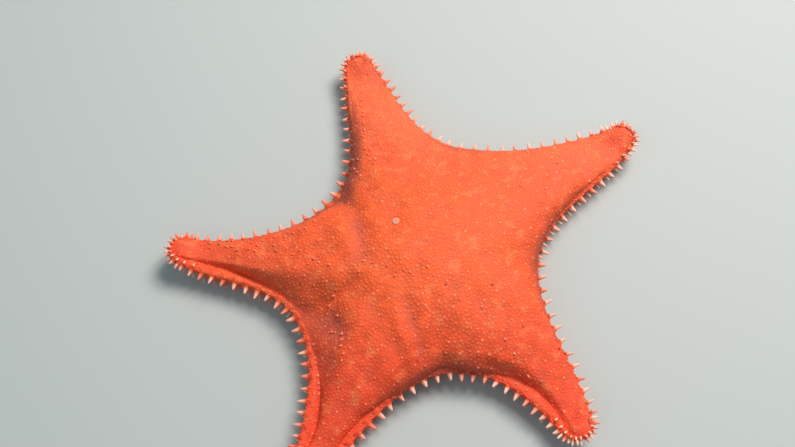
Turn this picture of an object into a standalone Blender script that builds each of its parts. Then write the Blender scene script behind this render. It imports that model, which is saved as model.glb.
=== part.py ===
"""A life-size cushion star, still: an inflated disc, five short tapering rays, two rows of
marginal plates that each carry a conical spine, and the mouth and furrows of the underside.

Metres and degrees. +Z is up, and the starfish rests on its oral side at z = 0. Everything is
laid out round the centre of the disc, and the finished starfish is then moved so that the
middle of its spread stands on the origin.

Half a ray runs from a notch to the ray's tip and is made of ribs. A rib starts on the crown
line over the ray's axis, goes down over the marginal plates and back under to the furrow, and
there is one rib between each two marginal plates. The ribs fan out from the disc's centre.
"""

import math

import bmesh
import bpy
from mathutils import Vector

# Rays, anticlockwise seen from above: heading, reach to the tip, sideways bow of the axis, how
# far its sides turn in towards the tip in degrees, and, on the ray's right and left, looking
# out, how far the groove over the plates has opened, and how square the shoulder is half-way.
RAYS = {
    "ray_right": (34.0, 0.1572, -0.0010, 15.0, 0.15, 0.0, 6.0, 6.0),
    "ray_back": (105.2, 0.1462, -0.0015, 17.0, 0.0, 0.0, 6.0, 2.6),
    "ray_left": (176.0, 0.1446, 0.0080, 8.0, 0.0, 1.0, 6.0, 6.0),
    "ray_front_left": (242.5, 0.1395, 0.0010, 15.0, 0.9, 0.55, 6.0, 6.0),
    "ray_front_right": (312.5, 0.1345, 0.0120, 15.0, 0.9, 0.1, 6.0, 6.0),
}
# The notch after each ray: heading, reach to the margin, depth of the crease that starts there,
# how square the shoulder over it is, how far the groove has opened there. Below 0 the groove
# opens further on.
NOTCHES = (
    (74.5, 0.0810, 0.0005, 6.0, 0.0),
    (140.0, 0.0660, 0.0025, 6.0, 0.1),
    (206.5, 0.0765, 0.0035, 4.5, 0.5),
    (282.0, 0.0650, 0.0020, 4.2, -0.4),
    (358.0, 0.0690, 0.0010, 6.0, 0.0),
)

# The margin seen from above.
TIP_RADIUS = 0.0095
NOTCH_PULL = 0.34  # how far the notch's arc and the ray's straight side reach, as shares
TIP_PULL = 0.35
PLATES = 15  # marginal plates on each side of a ray
PLATE_SHRINK = 0.15  # plates are this share longer than the mean at the notch
SHRINK_LATE = 3  # and stay so for most of the ray, the more so the higher this is
CAP_PLATES = 2  # plates that turn round the tip
PARTING = 3  # the disc ends after this many plates
PART_GAP = 0.0003

# Heights of the body.
DISC_HEIGHT = 0.040
TIP_HEIGHT = 0.0125
DISC_REACH = 0.145  # a ray's reach, as the crease between two rays takes it
CROWN_SHOULDER = 1.8  # how the crown falls away from the disc's centre, and how it runs out
CROWN_FOOT = 1.8
FOOT_SPREAD = 1.6  # how soon the ribs stand square to the axis
TIP_SHOULDER = 2.8  # 2 is an ellipse's, more is squarer
OPEN_SHOULDER = 5.5  # half-way out, where the groove is open
FOOT = (0.50, 0.50, 0.90)  # 0.5 is an ellipse's upright foot, and over 1 is a hollow one
OPEN_FOOT = (2.00, 1.40, 0.90)
DOME_STEPS = 8
TIP_LIFT = 0.0095
LIFT_FROM = 0.80  # share of its reach where a ray starts to curl up

# The marginal plates, at the notch, half-way and at the tip.
LEDGE = (0.0005, 0.0005, 0.0024)  # how far they stand out from the foot of the dome
OPEN_LEDGE = (0.0050, 0.0088, 0.0024)
GROOVE_DROP = (-0.0015, -0.0015, -0.0010)  # how far the foot of the dome lies under the rim
OPEN_GROOVE_DROP = (0.0005, 0.0024, -0.0010)
RIM_HEIGHT = (0.0150, 0.0135, 0.0095)
OPEN_RIM_HEIGHT = (0.0145, 0.0150, 0.0095)
RIM_INNER = 0.60  # how far in from the margin the rim's top starts, as a share of the ledge
RIM_OUTER = 0.08  # and where it ends
RIM_FALL = 0.0010  # how much lower it is there
SEAM_HEIGHT = (0.0085, 0.0072, 0.0055)  # between the upper and the lower row of plates
KEEL_HEIGHT = (0.0030, 0.0025, 0.0020)
SEAM_INSET = 0.0010  # the side draws in under the rim
KEEL_INSET = 0.0030
SOLE_INSET = (0.0065, 0.0060, 0.0038)

# The underside.
FURROW_HALF_WIDTH = 0.0030
FURROW_DEPTH = 0.0050
JAW_REACH = 0.0065  # from the centre to the point where two furrows meet
MOUTH_DEPTH = 0.0090
LIP_RADIUS = 0.0026
LIP_THICKNESS = 0.0020
LIP_HEIGHT = 0.0026

# Spines, at the notch, half-way and at the tip, and their angles above the horizontal.
SPINE_RADIUS = (0.0017, 0.0016, 0.0010)
UPPER_SPINE = (0.0060, 0.0058, 0.0036)
UPPER_SPINE_RISE = 12.0
LOWER_SPINE = (0.0056, 0.0055, 0.0034)
LOWER_SPINE_RISE = -4.0

# The madreporite, a sieve plate on the disc between the back and the left ray.
SIEVE_HEADING = 125.9
SIEVE_DISTANCE = 0.0223
SIEVE_RADIUS = 0.0022
SIEVE_THICKNESS = 0.0016
SIEVE_STAND = 0.0006  # how far it stands out of the skin

ORANGE = (0.90, 0.16, 0.055, 1.0)
SIEVE_CREAM = (0.85, 0.55, 0.42, 1.0)
LIP_RED = (0.62, 0.13, 0.07, 1.0)
UP = Vector((0, 0, 1))


def along(values, share):
    """The value at this share of the way through three values, at 0, at a half and at 1."""
    first, middle, last = values
    if share < 0.5:
        return first + (middle - first) * smooth(2 * share)
    return middle + (last - middle) * smooth(2 * share - 1)


def between(shut, opened, openness, share):
    """The value at this share, between those with a shut and with an open groove."""
    opening = max(0.0, along(openness, share))
    return along(shut, share) * (1 - opening) + along(opened, share) * opening


def heading(angle):
    return Vector((math.cos(math.radians(angle)), math.sin(math.radians(angle)), 0))


def turned(vector, angle):
    """A horizontal vector turned anticlockwise."""
    c, s = math.cos(math.radians(angle)), math.sin(math.radians(angle))
    return Vector((vector.x * c - vector.y * s, vector.x * s + vector.y * c, 0))


def bezier(points, t):
    """A point on the quadratic or cubic curve with these control points."""
    while len(points) > 1:
        points = [a.lerp(b, t) for a, b in zip(points, points[1:])]
    return points[0]


def smooth(t):
    t = min(1.0, max(0.0, t))
    return t * t * (3 - 2 * t)


class HalfRay:
    """One side of a ray, from the notch to the tip, with the share of the disc behind it."""

    def __init__(self, ray, notch, side):
        """side is 1 for the left of the ray, looking out from the disc, and -1 for the right."""
        angle, self.reach, bow, self.taper, *by_side = ray
        self.notch_heading, self.notch_reach, self.crease, shoulder, opened = notch
        out = heading(angle)
        self.cap = out * (self.reach - TIP_RADIUS)
        self.axis = [Vector((0, 0, 0)), self.cap / 2 + turned(out, 90) * 2 * bow, self.cap]
        self.tip_way = (self.axis[2] - self.axis[1]).normalized()
        self.side = side
        own, own_shoulder = by_side[1::2] if side > 0 else by_side[::2]
        self.openness = (opened, own, own)
        self.shoulders = [(shoulder, own, TIP_SHOULDER) for own in (own_shoulder, OPEN_SHOULDER)]
        self.lay_margin()

    def lay_margin(self):
        """Lays the margin: a curve from the notch to the cap, then the cap's arc to the tip."""
        notch = heading(self.notch_heading) * self.notch_reach
        along_notch = turned(heading(self.notch_heading), -90 * self.side)
        along_tip = turned(self.tip_way, -self.taper * self.side)
        cap_start = self.cap + turned(along_tip, 90 * self.side) * TIP_RADIUS
        span = (cap_start - notch).length
        curve = [
            notch,
            notch + along_notch * NOTCH_PULL * span,
            cap_start - along_tip * TIP_PULL * span,
            cap_start,
        ]
        steps = 60
        self.outline = [bezier(curve, i / steps) for i in range(steps + 1)]
        arc = 90 - self.taper
        for i in range(1, steps // 4 + 1):
            turn = (90 - self.taper - arc * i / (steps // 4)) * self.side
            self.outline.append(self.cap + turned(self.tip_way, turn) * TIP_RADIUS)
        self.travel = [0.0]
        for a, b in zip(self.outline, self.outline[1:]):
            self.travel.append(self.travel[-1] + (b - a).length)

    def margin(self, share):
        """The margin at this share of the plates. Plates are longest at the notch."""
        way = self.travel[-1] * share * (1 + PLATE_SHRINK * (1 - share**SHRINK_LATE))
        for i, (a, b) in enumerate(zip(self.travel, self.travel[1:])):
            if way <= b:
                return self.outline[i].lerp(self.outline[i + 1], (way - a) / (b - a))
        return self.outline[-1]

    def outward(self, share):
        """The heading square to the margin at this share, away from the body."""
        step = self.margin(share + 0.005) - self.margin(share - 0.005)
        return turned(step.normalized(), 90 * self.side)

    def foot_share(self, share):
        """How far out along the axis the rib at this share of the plates stands."""
        before_cap = min(1.0, share * PLATES / (PLATES - CAP_PLATES))
        return 1 - (1 - before_cap) ** FOOT_SPREAD

    def crown(self, share, place):
        """The height of the crown at this place on the rib."""
        reach = DISC_REACH + (self.reach - DISC_REACH) * smooth(2 * share)
        out = min(1.0, place.length / reach)
        fall = (1 - out**CROWN_SHOULDER) ** CROWN_FOOT
        return TIP_HEIGHT + (DISC_HEIGHT - TIP_HEIGHT) * fall

    def rib(self, share):
        """The points of a rib, from the crown, over the margin and back under to the furrow."""
        foot = bezier(self.axis, self.foot_share(share))
        way = self.margin(share) - foot
        width = way.length
        way.normalize()
        crease = self.crease * math.exp(-((share * PLATES) ** 2))

        rim = between(RIM_HEIGHT, OPEN_RIM_HEIGHT, self.openness, share)
        groove = rim - between(GROOVE_DROP, OPEN_GROOVE_DROP, self.openness, share)
        ledge = between(LEDGE, OPEN_LEDGE, self.openness, share)
        dome_foot = between(FOOT, OPEN_FOOT, self.openness, share)
        shoulder = between(*self.shoulders, self.openness, share)
        dome_width = width - ledge - crease

        profile = []
        for i in range(DOME_STEPS + 1):
            across = math.sin(math.radians(90 * i / DOME_STEPS))
            rise = (1 - across**shoulder) ** dome_foot
            dome = self.crown(share, foot + way * dome_width * across) - groove
            sag = crease * smooth(across * 1.4 - 0.4) * rise
            profile.append((dome_width * across, groove + dome * rise - sag))
        profile += [
            (width - RIM_INNER * ledge, rim),
            (width - RIM_OUTER * ledge, rim - RIM_FALL),
            (width - SEAM_INSET, along(SEAM_HEIGHT, share)),
            (width - KEEL_INSET, along(KEEL_HEIGHT, share)),
            (width - along(SOLE_INSET, share), 0.0),
            (self.furrow_edge(share, way), 0.0),
            (0.0, FURROW_DEPTH if share > 0 else MOUTH_DEPTH),
        ]
        return [self.lifted(foot + way * across, height) for across, height in profile]

    def lifted(self, place, height):
        """The point at this height over the sole, which leaves the floor towards the tip."""
        curl = max(0.0, (place.length / self.reach - LIFT_FROM) / (1 - LIFT_FROM))
        return place + UP * (height + TIP_LIFT * curl**2)

    def furrow_edge(self, share, way):
        """How far out along a rib the edge of the furrow lies."""
        if share == 0:
            return JAW_REACH
        half = FURROW_HALF_WIDTH * (1 - 0.5 * share)
        if share * PLATES >= PLATES - CAP_PLATES:
            return half
        foot = self.foot_share(share)
        axis_way = bezier(self.axis, foot + 0.001) - bezier(self.axis, foot)
        return half / abs(way.cross(axis_way.normalized()).z)


SEAM_COLUMN = DOME_STEPS + 3  # a rib's point between the upper and lower marginal plates
RIB_POINTS = DOME_STEPS + 8


class Body:
    """A closed mesh made of patches of ribs that share their points where they meet."""

    def __init__(self, name):
        self.name = name
        self.mesh = bmesh.new()
        self.points = {}

    def point(self, place):
        key = tuple(round(c, 7) for c in place)
        if key not in self.points:
            self.points[key] = self.mesh.verts.new(place)
        return self.points[key]

    def face(self, *places):
        """A face through these places, each given once."""
        corners = list(dict.fromkeys(self.point(p) for p in places))
        return self.mesh.faces.new(corners) if len(corners) > 2 else None

    def add_half_ray(self, half, shares, parted_end):
        """Adds the ribs at these shares. parted_end is the index of the rib where the ray is cut."""
        ribs = [half.rib(share) for share in shares]
        spine_beds = []
        for row, (a, b) in enumerate(zip(ribs, ribs[1:])):
            for column in range(RIB_POINTS - 1):
                corners = [a[column], a[column + 1], b[column + 1], b[column]]
                face = self.face(*(corners if half.side < 0 else reversed(corners)))
                middle = (shares[row] + shares[row + 1]) / 2
                if column in (SEAM_COLUMN - 1, SEAM_COLUMN):
                    spine_beds.append((face, half, middle, column < SEAM_COLUMN))
        cap = ribs[parted_end]
        self.face(*(cap if (half.side > 0) == (parted_end == 0) else reversed(cap)))
        return spine_beds

    def grow_spine(self, face, half, share, upper):
        """Draws a marginal plate out into a pyramid, the spine that stands on it."""
        centre = face.calc_center_median()
        out = half.outward(share)
        rise = math.radians(UPPER_SPINE_RISE if upper else LOWER_SPINE_RISE)
        length = along(UPPER_SPINE if upper else LOWER_SPINE, share)
        bmesh.ops.inset_individual(self.mesh, faces=[face], thickness=length / 10)
        for corner in face.verts:
            corner.co = centre + (corner.co - centre).normalized() * along(SPINE_RADIUS, share)
        tip = bmesh.ops.poke(self.mesh, faces=[face])["verts"][0]
        tip.co = centre + (out * math.cos(rise) + UP * math.sin(rise)) * length

    def finish(self, material):
        bmesh.ops.recalc_face_normals(self.mesh, faces=self.mesh.faces)
        data = bpy.data.meshes.new(self.name)
        self.mesh.to_mesh(data)
        self.mesh.free()
        return add_object(self.name, data, material)


def principled(name, colour, roughness):
    made = bpy.data.materials.new(name)
    made.use_nodes = True
    shader = made.node_tree.nodes["Principled BSDF"]
    shader.inputs["Base Color"].default_value = colour
    shader.inputs["Roughness"].default_value = roughness
    return made


def add_object(name, data, material, collection="starfish"):
    obj = bpy.data.objects.new(name, data)
    if material:
        data.materials.append(material)
    bpy.data.collections[collection].objects.link(obj)
    return obj


def half_rays():
    """The ten half rays, as (ray's name, half ray)."""
    notches = list(NOTCHES)
    for i, (name, ray) in enumerate(RAYS.items()):
        yield name, HalfRay(ray, notches[i - 1], -1)
        yield name, HalfRay(ray, notches[i], 1)


def plate_shares(first, last):
    return [i / PLATES for i in range(first, last + 1)]


def add_body(halves, name, shares, parted_end, material):
    """Makes one node of flesh from the same stretch of several half rays, with its spines."""
    body = Body(name)
    beds = []
    for half in halves:
        beds += body.add_half_ray(half, shares, parted_end)
    for bed in beds:
        body.grow_spine(*bed)
    return body.finish(material)


def add_disc_and_rays(material):
    """The disc and the five rays, parted between two marginal plates so that no spine is cut."""
    gap_share = PART_GAP / 2 / 0.009 / PLATES  # a plate there is about 9 mm long
    parting = PARTING / PLATES
    halves = list(half_rays())
    inner = plate_shares(0, PARTING - 1) + [parting - gap_share]
    outer = [parting + gap_share] + plate_shares(PARTING + 1, PLATES)
    parts = [add_body([h for _, h in halves], "disc", inner, len(inner) - 1, material)]
    for name in RAYS:
        own = [h for n, h in halves if n == name]
        parts.append(add_body(own, name, outer, 0, material))
    return parts


def turned_profile(name, profile, material, collection="starfish"):
    """A solid of revolution about its own Z axis. The profile runs down its outer side."""
    data = bpy.data.meshes.new(name)
    data.from_pydata(profile, [(i, i + 1) for i in range(len(profile) - 1)], [])
    obj = add_object(name, data, material, collection)
    screw = obj.modifiers.new("turn", "SCREW")
    screw.steps = screw.render_steps = 16
    screw.use_merge_vertices = True
    screw.merge_threshold = 0.00001
    return obj


def add_sieve_plate(disc, material):
    """The madreporite, a low button let into the disc's skin, and the seat cut for it."""
    place = heading(SIEVE_HEADING) * SIEVE_DISTANCE
    hit, skin, normal, _ = disc.ray_cast(place + UP * 0.2, -UP)
    if not hit:
        raise RuntimeError("the sieve plate's place isn't over the disc")
    tilt = UP.rotation_difference(normal).to_euler()
    r, top, foot = SIEVE_RADIUS, SIEVE_STAND, SIEVE_STAND - SIEVE_THICKNESS
    profile = [(0, 0, top), (0.6 * r, 0, 0.85 * top), (0.9 * r, 0, 0.3 * top), (r, 0, -0.2 * top)]
    sieve = turned_profile("madreporite", profile + [(r, 0, foot), (0, 0, foot)], material)
    seat_r, seat = r + PART_GAP, foot - PART_GAP
    seat_profile = [(0, 0, 3 * r), (seat_r, 0, 3 * r), (seat_r, 0, seat), (0, 0, seat)]
    cutter = turned_profile("sieve_seat", seat_profile, None, "cutters")
    cutter.display_type = "WIRE"
    cutter.hide_render = True
    for obj in (sieve, cutter):
        obj.location = skin
        obj.rotation_euler = tilt
    cut = disc.modifiers.new("seat of the sieve plate", "BOOLEAN")
    cut.operation = "DIFFERENCE"
    cut.object = cutter
    return [sieve, cutter]


def add_mouth(material):
    """The lip round the mouth, in the middle of the underside."""
    bpy.ops.mesh.primitive_torus_add(
        major_segments=20,
        minor_segments=8,
        major_radius=LIP_RADIUS,
        minor_radius=LIP_THICKNESS / 2,
        location=(0, 0, LIP_HEIGHT),
    )
    lip = bpy.context.object
    lip.name = lip.data.name = "mouth"
    lip.data.materials.append(material)
    for collection in lip.users_collection:
        collection.objects.unlink(lip)
    bpy.data.collections["starfish"].objects.link(lip)
    return lip


def centre_on_origin(objects, spread):
    """Moves the objects so that the box round the spread ones stands on the origin."""
    corners = [v.co + obj.location for obj in spread for v in obj.data.vertices]
    middle = Vector(
        (
            (min(c.x for c in corners) + max(c.x for c in corners)) / 2,
            (min(c.y for c in corners) + max(c.y for c in corners)) / 2,
            0,
        )
    )
    for obj in objects:
        obj.location = obj.location - middle
    print(f"the disc's centre stands at {tuple(round(-c, 5) for c in middle)}")


def main():
    for obj in list(bpy.data.objects):
        bpy.data.objects.remove(obj)
    for name in ("starfish", "cutters"):
        bpy.context.scene.collection.children.link(bpy.data.collections.new(name))
    flesh = principled("orange_flesh", ORANGE, 0.55)
    parts = add_disc_and_rays(flesh)
    bpy.context.view_layer.update()
    sieve = add_sieve_plate(parts[0], principled("sieve_plate", SIEVE_CREAM, 0.6))
    mouth = add_mouth(principled("lip", LIP_RED, 0.5))
    centre_on_origin(parts + sieve + [mouth], parts)


main()
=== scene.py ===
# %% [markdown]
# # A cushion star, life size
#
# A cushion star is a bag of firm flesh stretched over small chalky plates. The frame holds its
# plain solids: a disc, five rays, a sieve plate and the lip of the mouth. This lesson lays the
# looks over them: one skin, the grains and spines that stand on it, and the parts underneath.
# Every length is in metres, and nothing here moves a solid.

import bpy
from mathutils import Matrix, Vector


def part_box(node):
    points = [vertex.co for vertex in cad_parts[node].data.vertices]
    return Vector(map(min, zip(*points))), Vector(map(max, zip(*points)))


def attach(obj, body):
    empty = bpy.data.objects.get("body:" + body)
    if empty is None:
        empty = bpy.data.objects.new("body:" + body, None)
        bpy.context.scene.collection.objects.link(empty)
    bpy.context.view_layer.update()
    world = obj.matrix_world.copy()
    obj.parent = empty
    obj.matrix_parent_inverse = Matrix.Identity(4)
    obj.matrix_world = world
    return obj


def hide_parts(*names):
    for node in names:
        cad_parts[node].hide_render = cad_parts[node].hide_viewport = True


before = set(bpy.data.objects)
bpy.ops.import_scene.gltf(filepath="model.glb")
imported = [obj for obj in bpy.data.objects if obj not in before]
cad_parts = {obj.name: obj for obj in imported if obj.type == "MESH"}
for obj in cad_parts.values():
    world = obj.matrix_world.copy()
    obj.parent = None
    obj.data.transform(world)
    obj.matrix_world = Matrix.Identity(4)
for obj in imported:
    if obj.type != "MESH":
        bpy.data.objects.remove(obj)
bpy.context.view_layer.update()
print("nodes:", ", ".join(sorted(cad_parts)))

# %% Tools
import math

import bpy
import numpy as np
from mathutils import Vector
from mathutils.kdtree import KDTree

MM = 0.001


CENTRE = sum(np.array(corner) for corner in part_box("mouth")) / 2
CENTRE[2] = 0.0
print("the disc's centre stands at, mm:", (CENTRE / MM).round(2))

# %% [markdown]
# ## The plan of the star
#
# Seen from above, each ray is a soft wedge with a round end, and two rays meet in a notch. One
# way to get that outline is to draw it by hand. Here each half of a ray is a curve from its
# notch to its tip instead, so a longer or a bent ray is one number. The curve is a Bezier curve
# that leaves the notch square to it and ends in the arc of the tip.

# %% Rays and notches
# Each ray has a heading in degrees, its reach to the tip, a sideways bow of its axis, how far its
# sides turn in towards the tip, and, on its right and on its left, looking out, how far the
# groove over the plates has opened, and how square the shoulder is half-way.
RAYS = {
    "ray_right": (34.0, 0.1572, -0.0010, 15.0, 0.15, 0.0, 6.0, 6.0),
    "ray_back": (105.2, 0.1462, -0.0015, 17.0, 0.0, 0.0, 6.0, 2.6),
    "ray_left": (176.0, 0.1446, 0.0080, 8.0, 0.0, 1.0, 6.0, 6.0),
    "ray_front_left": (242.5, 0.1395, 0.0010, 15.0, 0.9, 0.55, 6.0, 6.0),
    "ray_front_right": (312.5, 0.1345, 0.0120, 15.0, 0.9, 0.1, 6.0, 6.0),
}
# After each ray: heading, reach to the margin, depth of the crease there, how square the
# shoulder over it is, how far the groove has opened there.
NOTCHES = (
    (74.5, 0.0810, 0.0005, 6.0, 0.0),
    (140.0, 0.0660, 0.0025, 6.0, 0.1),
    (206.5, 0.0765, 0.0035, 4.5, 0.5),
    (282.0, 0.0650, 0.0020, 4.2, -0.4),
    (358.0, 0.0690, 0.0010, 6.0, 0.0),
)
TIP_SHOULDER = 2.8
OPEN_SHOULDER = 5.5  # half-way out, where the groove is open
TIP_RADIUS = 0.0095
TIP_LIFT = 0.0095
LIFT_FROM = 0.80  # of the reach
NOTCH_PULL = 0.34
TIP_PULL = 0.35
PLATES = 15
PLATE_SHRINK = 0.15
SHRINK_LATE = 3
CAP_PLATES = 2
FOOT_SPREAD = 1.6


def unit(angle):
    """The horizontal unit vector at this heading."""
    return np.array([math.cos(math.radians(angle)), math.sin(math.radians(angle))])


def turned(way, angle):
    """Horizontal vectors turned anticlockwise."""
    c, s = unit(angle)
    return np.stack([way[..., 0] * c - way[..., 1] * s, way[..., 0] * s + way[..., 1] * c], -1)


def bezier(points, t):
    """Points on a Bezier curve at the values in t."""
    t = np.atleast_1d(t)[:, None]
    points = [np.atleast_2d(p) for p in points]
    while len(points) > 1:
        points = [a + (b - a) * t for a, b in zip(points, points[1:])]
    return points[0]


class HalfRay:
    """One side of a ray, from its notch to its tip, with the share of the disc behind it."""

    def __init__(self, number, name, notch, side):
        angle, self.reach, bow, taper, *by_side = RAYS[name]
        notch_heading, notch_reach, self.crease, shoulder, opened = notch
        self.number, self.side = number, side
        own, own_shoulder = by_side[1::2] if side > 0 else by_side[::2]
        self.openness = (opened, own, own)
        self.shoulders = [(shoulder, own, TIP_SHOULDER) for own in (own_shoulder, OPEN_SHOULDER)]
        self.leaning = own_shoulder < 4
        cap = unit(angle) * (self.reach - TIP_RADIUS)
        self.axis = [np.zeros(2), cap / 2 + turned(unit(angle), 90) * 2 * bow, cap]
        tip_way = self.axis[2] - self.axis[1]
        tip_way = tip_way / np.linalg.norm(tip_way)

        notch = unit(notch_heading) * notch_reach
        along_tip = turned(tip_way, -taper * side)
        cap_start = cap + turned(along_tip, 90 * side) * TIP_RADIUS
        span = np.linalg.norm(cap_start - notch)
        near_notch = notch + turned(unit(notch_heading), -90 * side) * NOTCH_PULL * span
        near_tip = cap_start - along_tip * TIP_PULL * span
        curve = bezier([notch, near_notch, near_tip, cap_start], np.linspace(0, 1, 61))
        arc = [
            cap + turned(tip_way, turn * side) * TIP_RADIUS
            for turn in np.linspace(90 - taper, 0, 16)[1:]
        ]
        self.outline = np.vstack([curve, arc])
        steps = np.linalg.norm(np.diff(self.outline, axis=0), axis=1)
        self.travel = np.concatenate([[0], np.cumsum(steps)])

    def margin(self, share):
        """The margin at these shares of the plates, which shrink late, near the tip."""
        way = self.travel[-1] * share * (1 + PLATE_SHRINK * (1 - share**SHRINK_LATE))
        return np.stack([np.interp(way, self.travel, self.outline[:, k]) for k in (0, 1)], -1)

    def outward(self, share):
        """The headings square to the margin at these shares, away from the body."""
        step = self.margin(share + 0.005) - self.margin(share - 0.005)
        return turned(step / np.linalg.norm(step, axis=1, keepdims=True), 90 * self.side)

    def foot(self, share):
        """Where on the axis the ribs at these shares stand."""
        before_cap = np.minimum(1, share * PLATES / (PLATES - CAP_PLATES))
        return bezier(self.axis, 1 - (1 - before_cap) ** FOOT_SPREAD)

    def facing(self, share):
        """Where the ribs at these shares stand, the way they face and how long they are."""
        foot = self.foot(share)
        way = self.margin(share) - foot
        width = np.linalg.norm(way, axis=1, keepdims=True)
        return foot, way / width, width

    def lift(self, place):
        """How far the tip lifts these places, and their share of the ray's reach."""
        reach = np.linalg.norm(place, axis=-1) / self.reach
        return TIP_LIFT * (np.maximum(0, reach - LIFT_FROM) / (1 - LIFT_FROM)) ** 2, reach


halves = []
for index, name in enumerate(RAYS):
    halves.append(HalfRay(len(halves), name, NOTCHES[index - 1], -1))
    halves.append(HalfRay(len(halves), name, NOTCHES[index], 1))
print(len(halves), "half rays, margins of", [round(h.travel[-1] / MM) for h in halves], "mm")

# %% [markdown]
# ## The section of a rib
#
# Cut across a ray, the animal is a dome that runs down into a shallow groove, then a rounded
# rim made of two rows of plates, then the flat sole, and last the furrow where its feet are.
# A modelling brush could shape all that. A rib is surer: it is one line of points through
# those forms, and ribs side by side make the surface. The heights change slowly from the notch
# to the tip, so each is given at the notch, half-way and at the tip.

# %% Heights and widths of a rib
DISC_HEIGHT = 0.040
TIP_HEIGHT = 0.0125
DISC_REACH = 0.145
CROWN_SHOULDER = 1.8
CROWN_FOOT = 1.8
FOOT = (0.50, 0.50, 0.90)
OPEN_FOOT = (2.00, 1.40, 0.90)
LEDGE = (0.0005, 0.0005, 0.0024)
OPEN_LEDGE = (0.0050, 0.0088, 0.0024)
GROOVE_DROP = (-0.0015, -0.0015, -0.0010)
OPEN_GROOVE_DROP = (0.0005, 0.0024, -0.0010)
RIM_HEIGHT = (0.0150, 0.0135, 0.0095)
OPEN_RIM_HEIGHT = (0.0145, 0.0150, 0.0095)
RIM_INNER = 0.60  # where the rim's top starts and ends, as shares of the ledge
RIM_OUTER = 0.08
RIM_FALL = 0.0010
SEAM_HEIGHT = (0.0085, 0.0072, 0.0055)
KEEL_HEIGHT = (0.0030, 0.0025, 0.0020)
SEAM_INSET = 0.0010
KEEL_INSET = 0.0030
SOLE_INSET = (0.0065, 0.0060, 0.0038)
FURROW_HALF_WIDTH = 0.0030
FURROW_DEPTH = 0.0050
JAW_REACH = 0.0065
MOUTH_DEPTH = 0.0090


def smooth(t):
    """0 up to 0, 1 from 1, and an even S between."""
    t = np.clip(t, 0, 1)
    return t * t * (3 - 2 * t)


def along(values, share):
    """The value at these shares of the way through three values, at 0, at a half and at 1."""
    first, middle, last = values
    inner = first + (middle - first) * smooth(2 * share)
    return np.where(share < 0.5, inner, middle + (last - middle) * smooth(2 * share - 1))


def openness_at(half, share):
    """How far the groove has opened at these shares. A notch below 0 delays it."""
    return np.maximum(0, along(half.openness, share))


def between(shut, opened, half, share):
    """The value at these shares, between those with a shut and with an open groove."""
    openness = openness_at(half, share)
    return along(shut, share) * (1 - openness) + along(opened, share) * openness


def crown(half, share, place):
    """The height of the back over these places."""
    reach = DISC_REACH + (half.reach - DISC_REACH) * smooth(2 * share)
    out = np.minimum(1, np.linalg.norm(place, axis=-1) / reach)
    fall = (1 - out**CROWN_SHOULDER) ** CROWN_FOOT
    return TIP_HEIGHT + (DISC_HEIGHT - TIP_HEIGHT) * fall


# %% Columns of a rib
DOME_COLUMNS = 44
RIM_STEPS = 6  # between two knots of the rim
SOLE_COLUMNS = 16
FURROW_COLUMNS = 8
RIM_RUNS = 5  # between the knots of the rim
SEAM_AT = 3 / RIM_RUNS
PLATE_SWELL = 0.0007
SEAM_DIP = 0.0003
SOLE_HOLLOW = 0.0005


def through(knots, steps):
    """A smooth line through all knots but the first and the last, each an array of (ribs, 1)."""
    t = np.linspace(0, 1, steps + 1)[None, 1:]
    runs = []
    for a, b, c, d in zip(knots, knots[1:], knots[2:], knots[3:]):
        cubic = 2 * b + (c - a) * t + (2 * a - 5 * b + 4 * c - d) * t**2
        runs.append(0.5 * (cubic + (3 * b - a - 3 * c + d) * t**3))
    return np.hstack(runs)


def furrow_edge(half, share, way):
    """How far out along the ribs the furrow's edge lies."""
    step = half.foot(share + 0.001) - half.foot(share - 0.001)
    step = step / np.maximum(np.linalg.norm(step, axis=1, keepdims=True), 1e-9)
    slant = np.abs(way[:, :1] * step[:, 1:] - way[:, 1:] * step[:, :1])
    in_cap = share[:, None] * PLATES >= PLATES - CAP_PLATES
    edge = FURROW_HALF_WIDTH * (1 - 0.5 * share[:, None]) / np.where(in_cap, 1, slant)
    at_jaws = smooth(1 - share[:, None] * PLATES)
    return edge + (JAW_REACH - edge) * at_jaws


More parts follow.
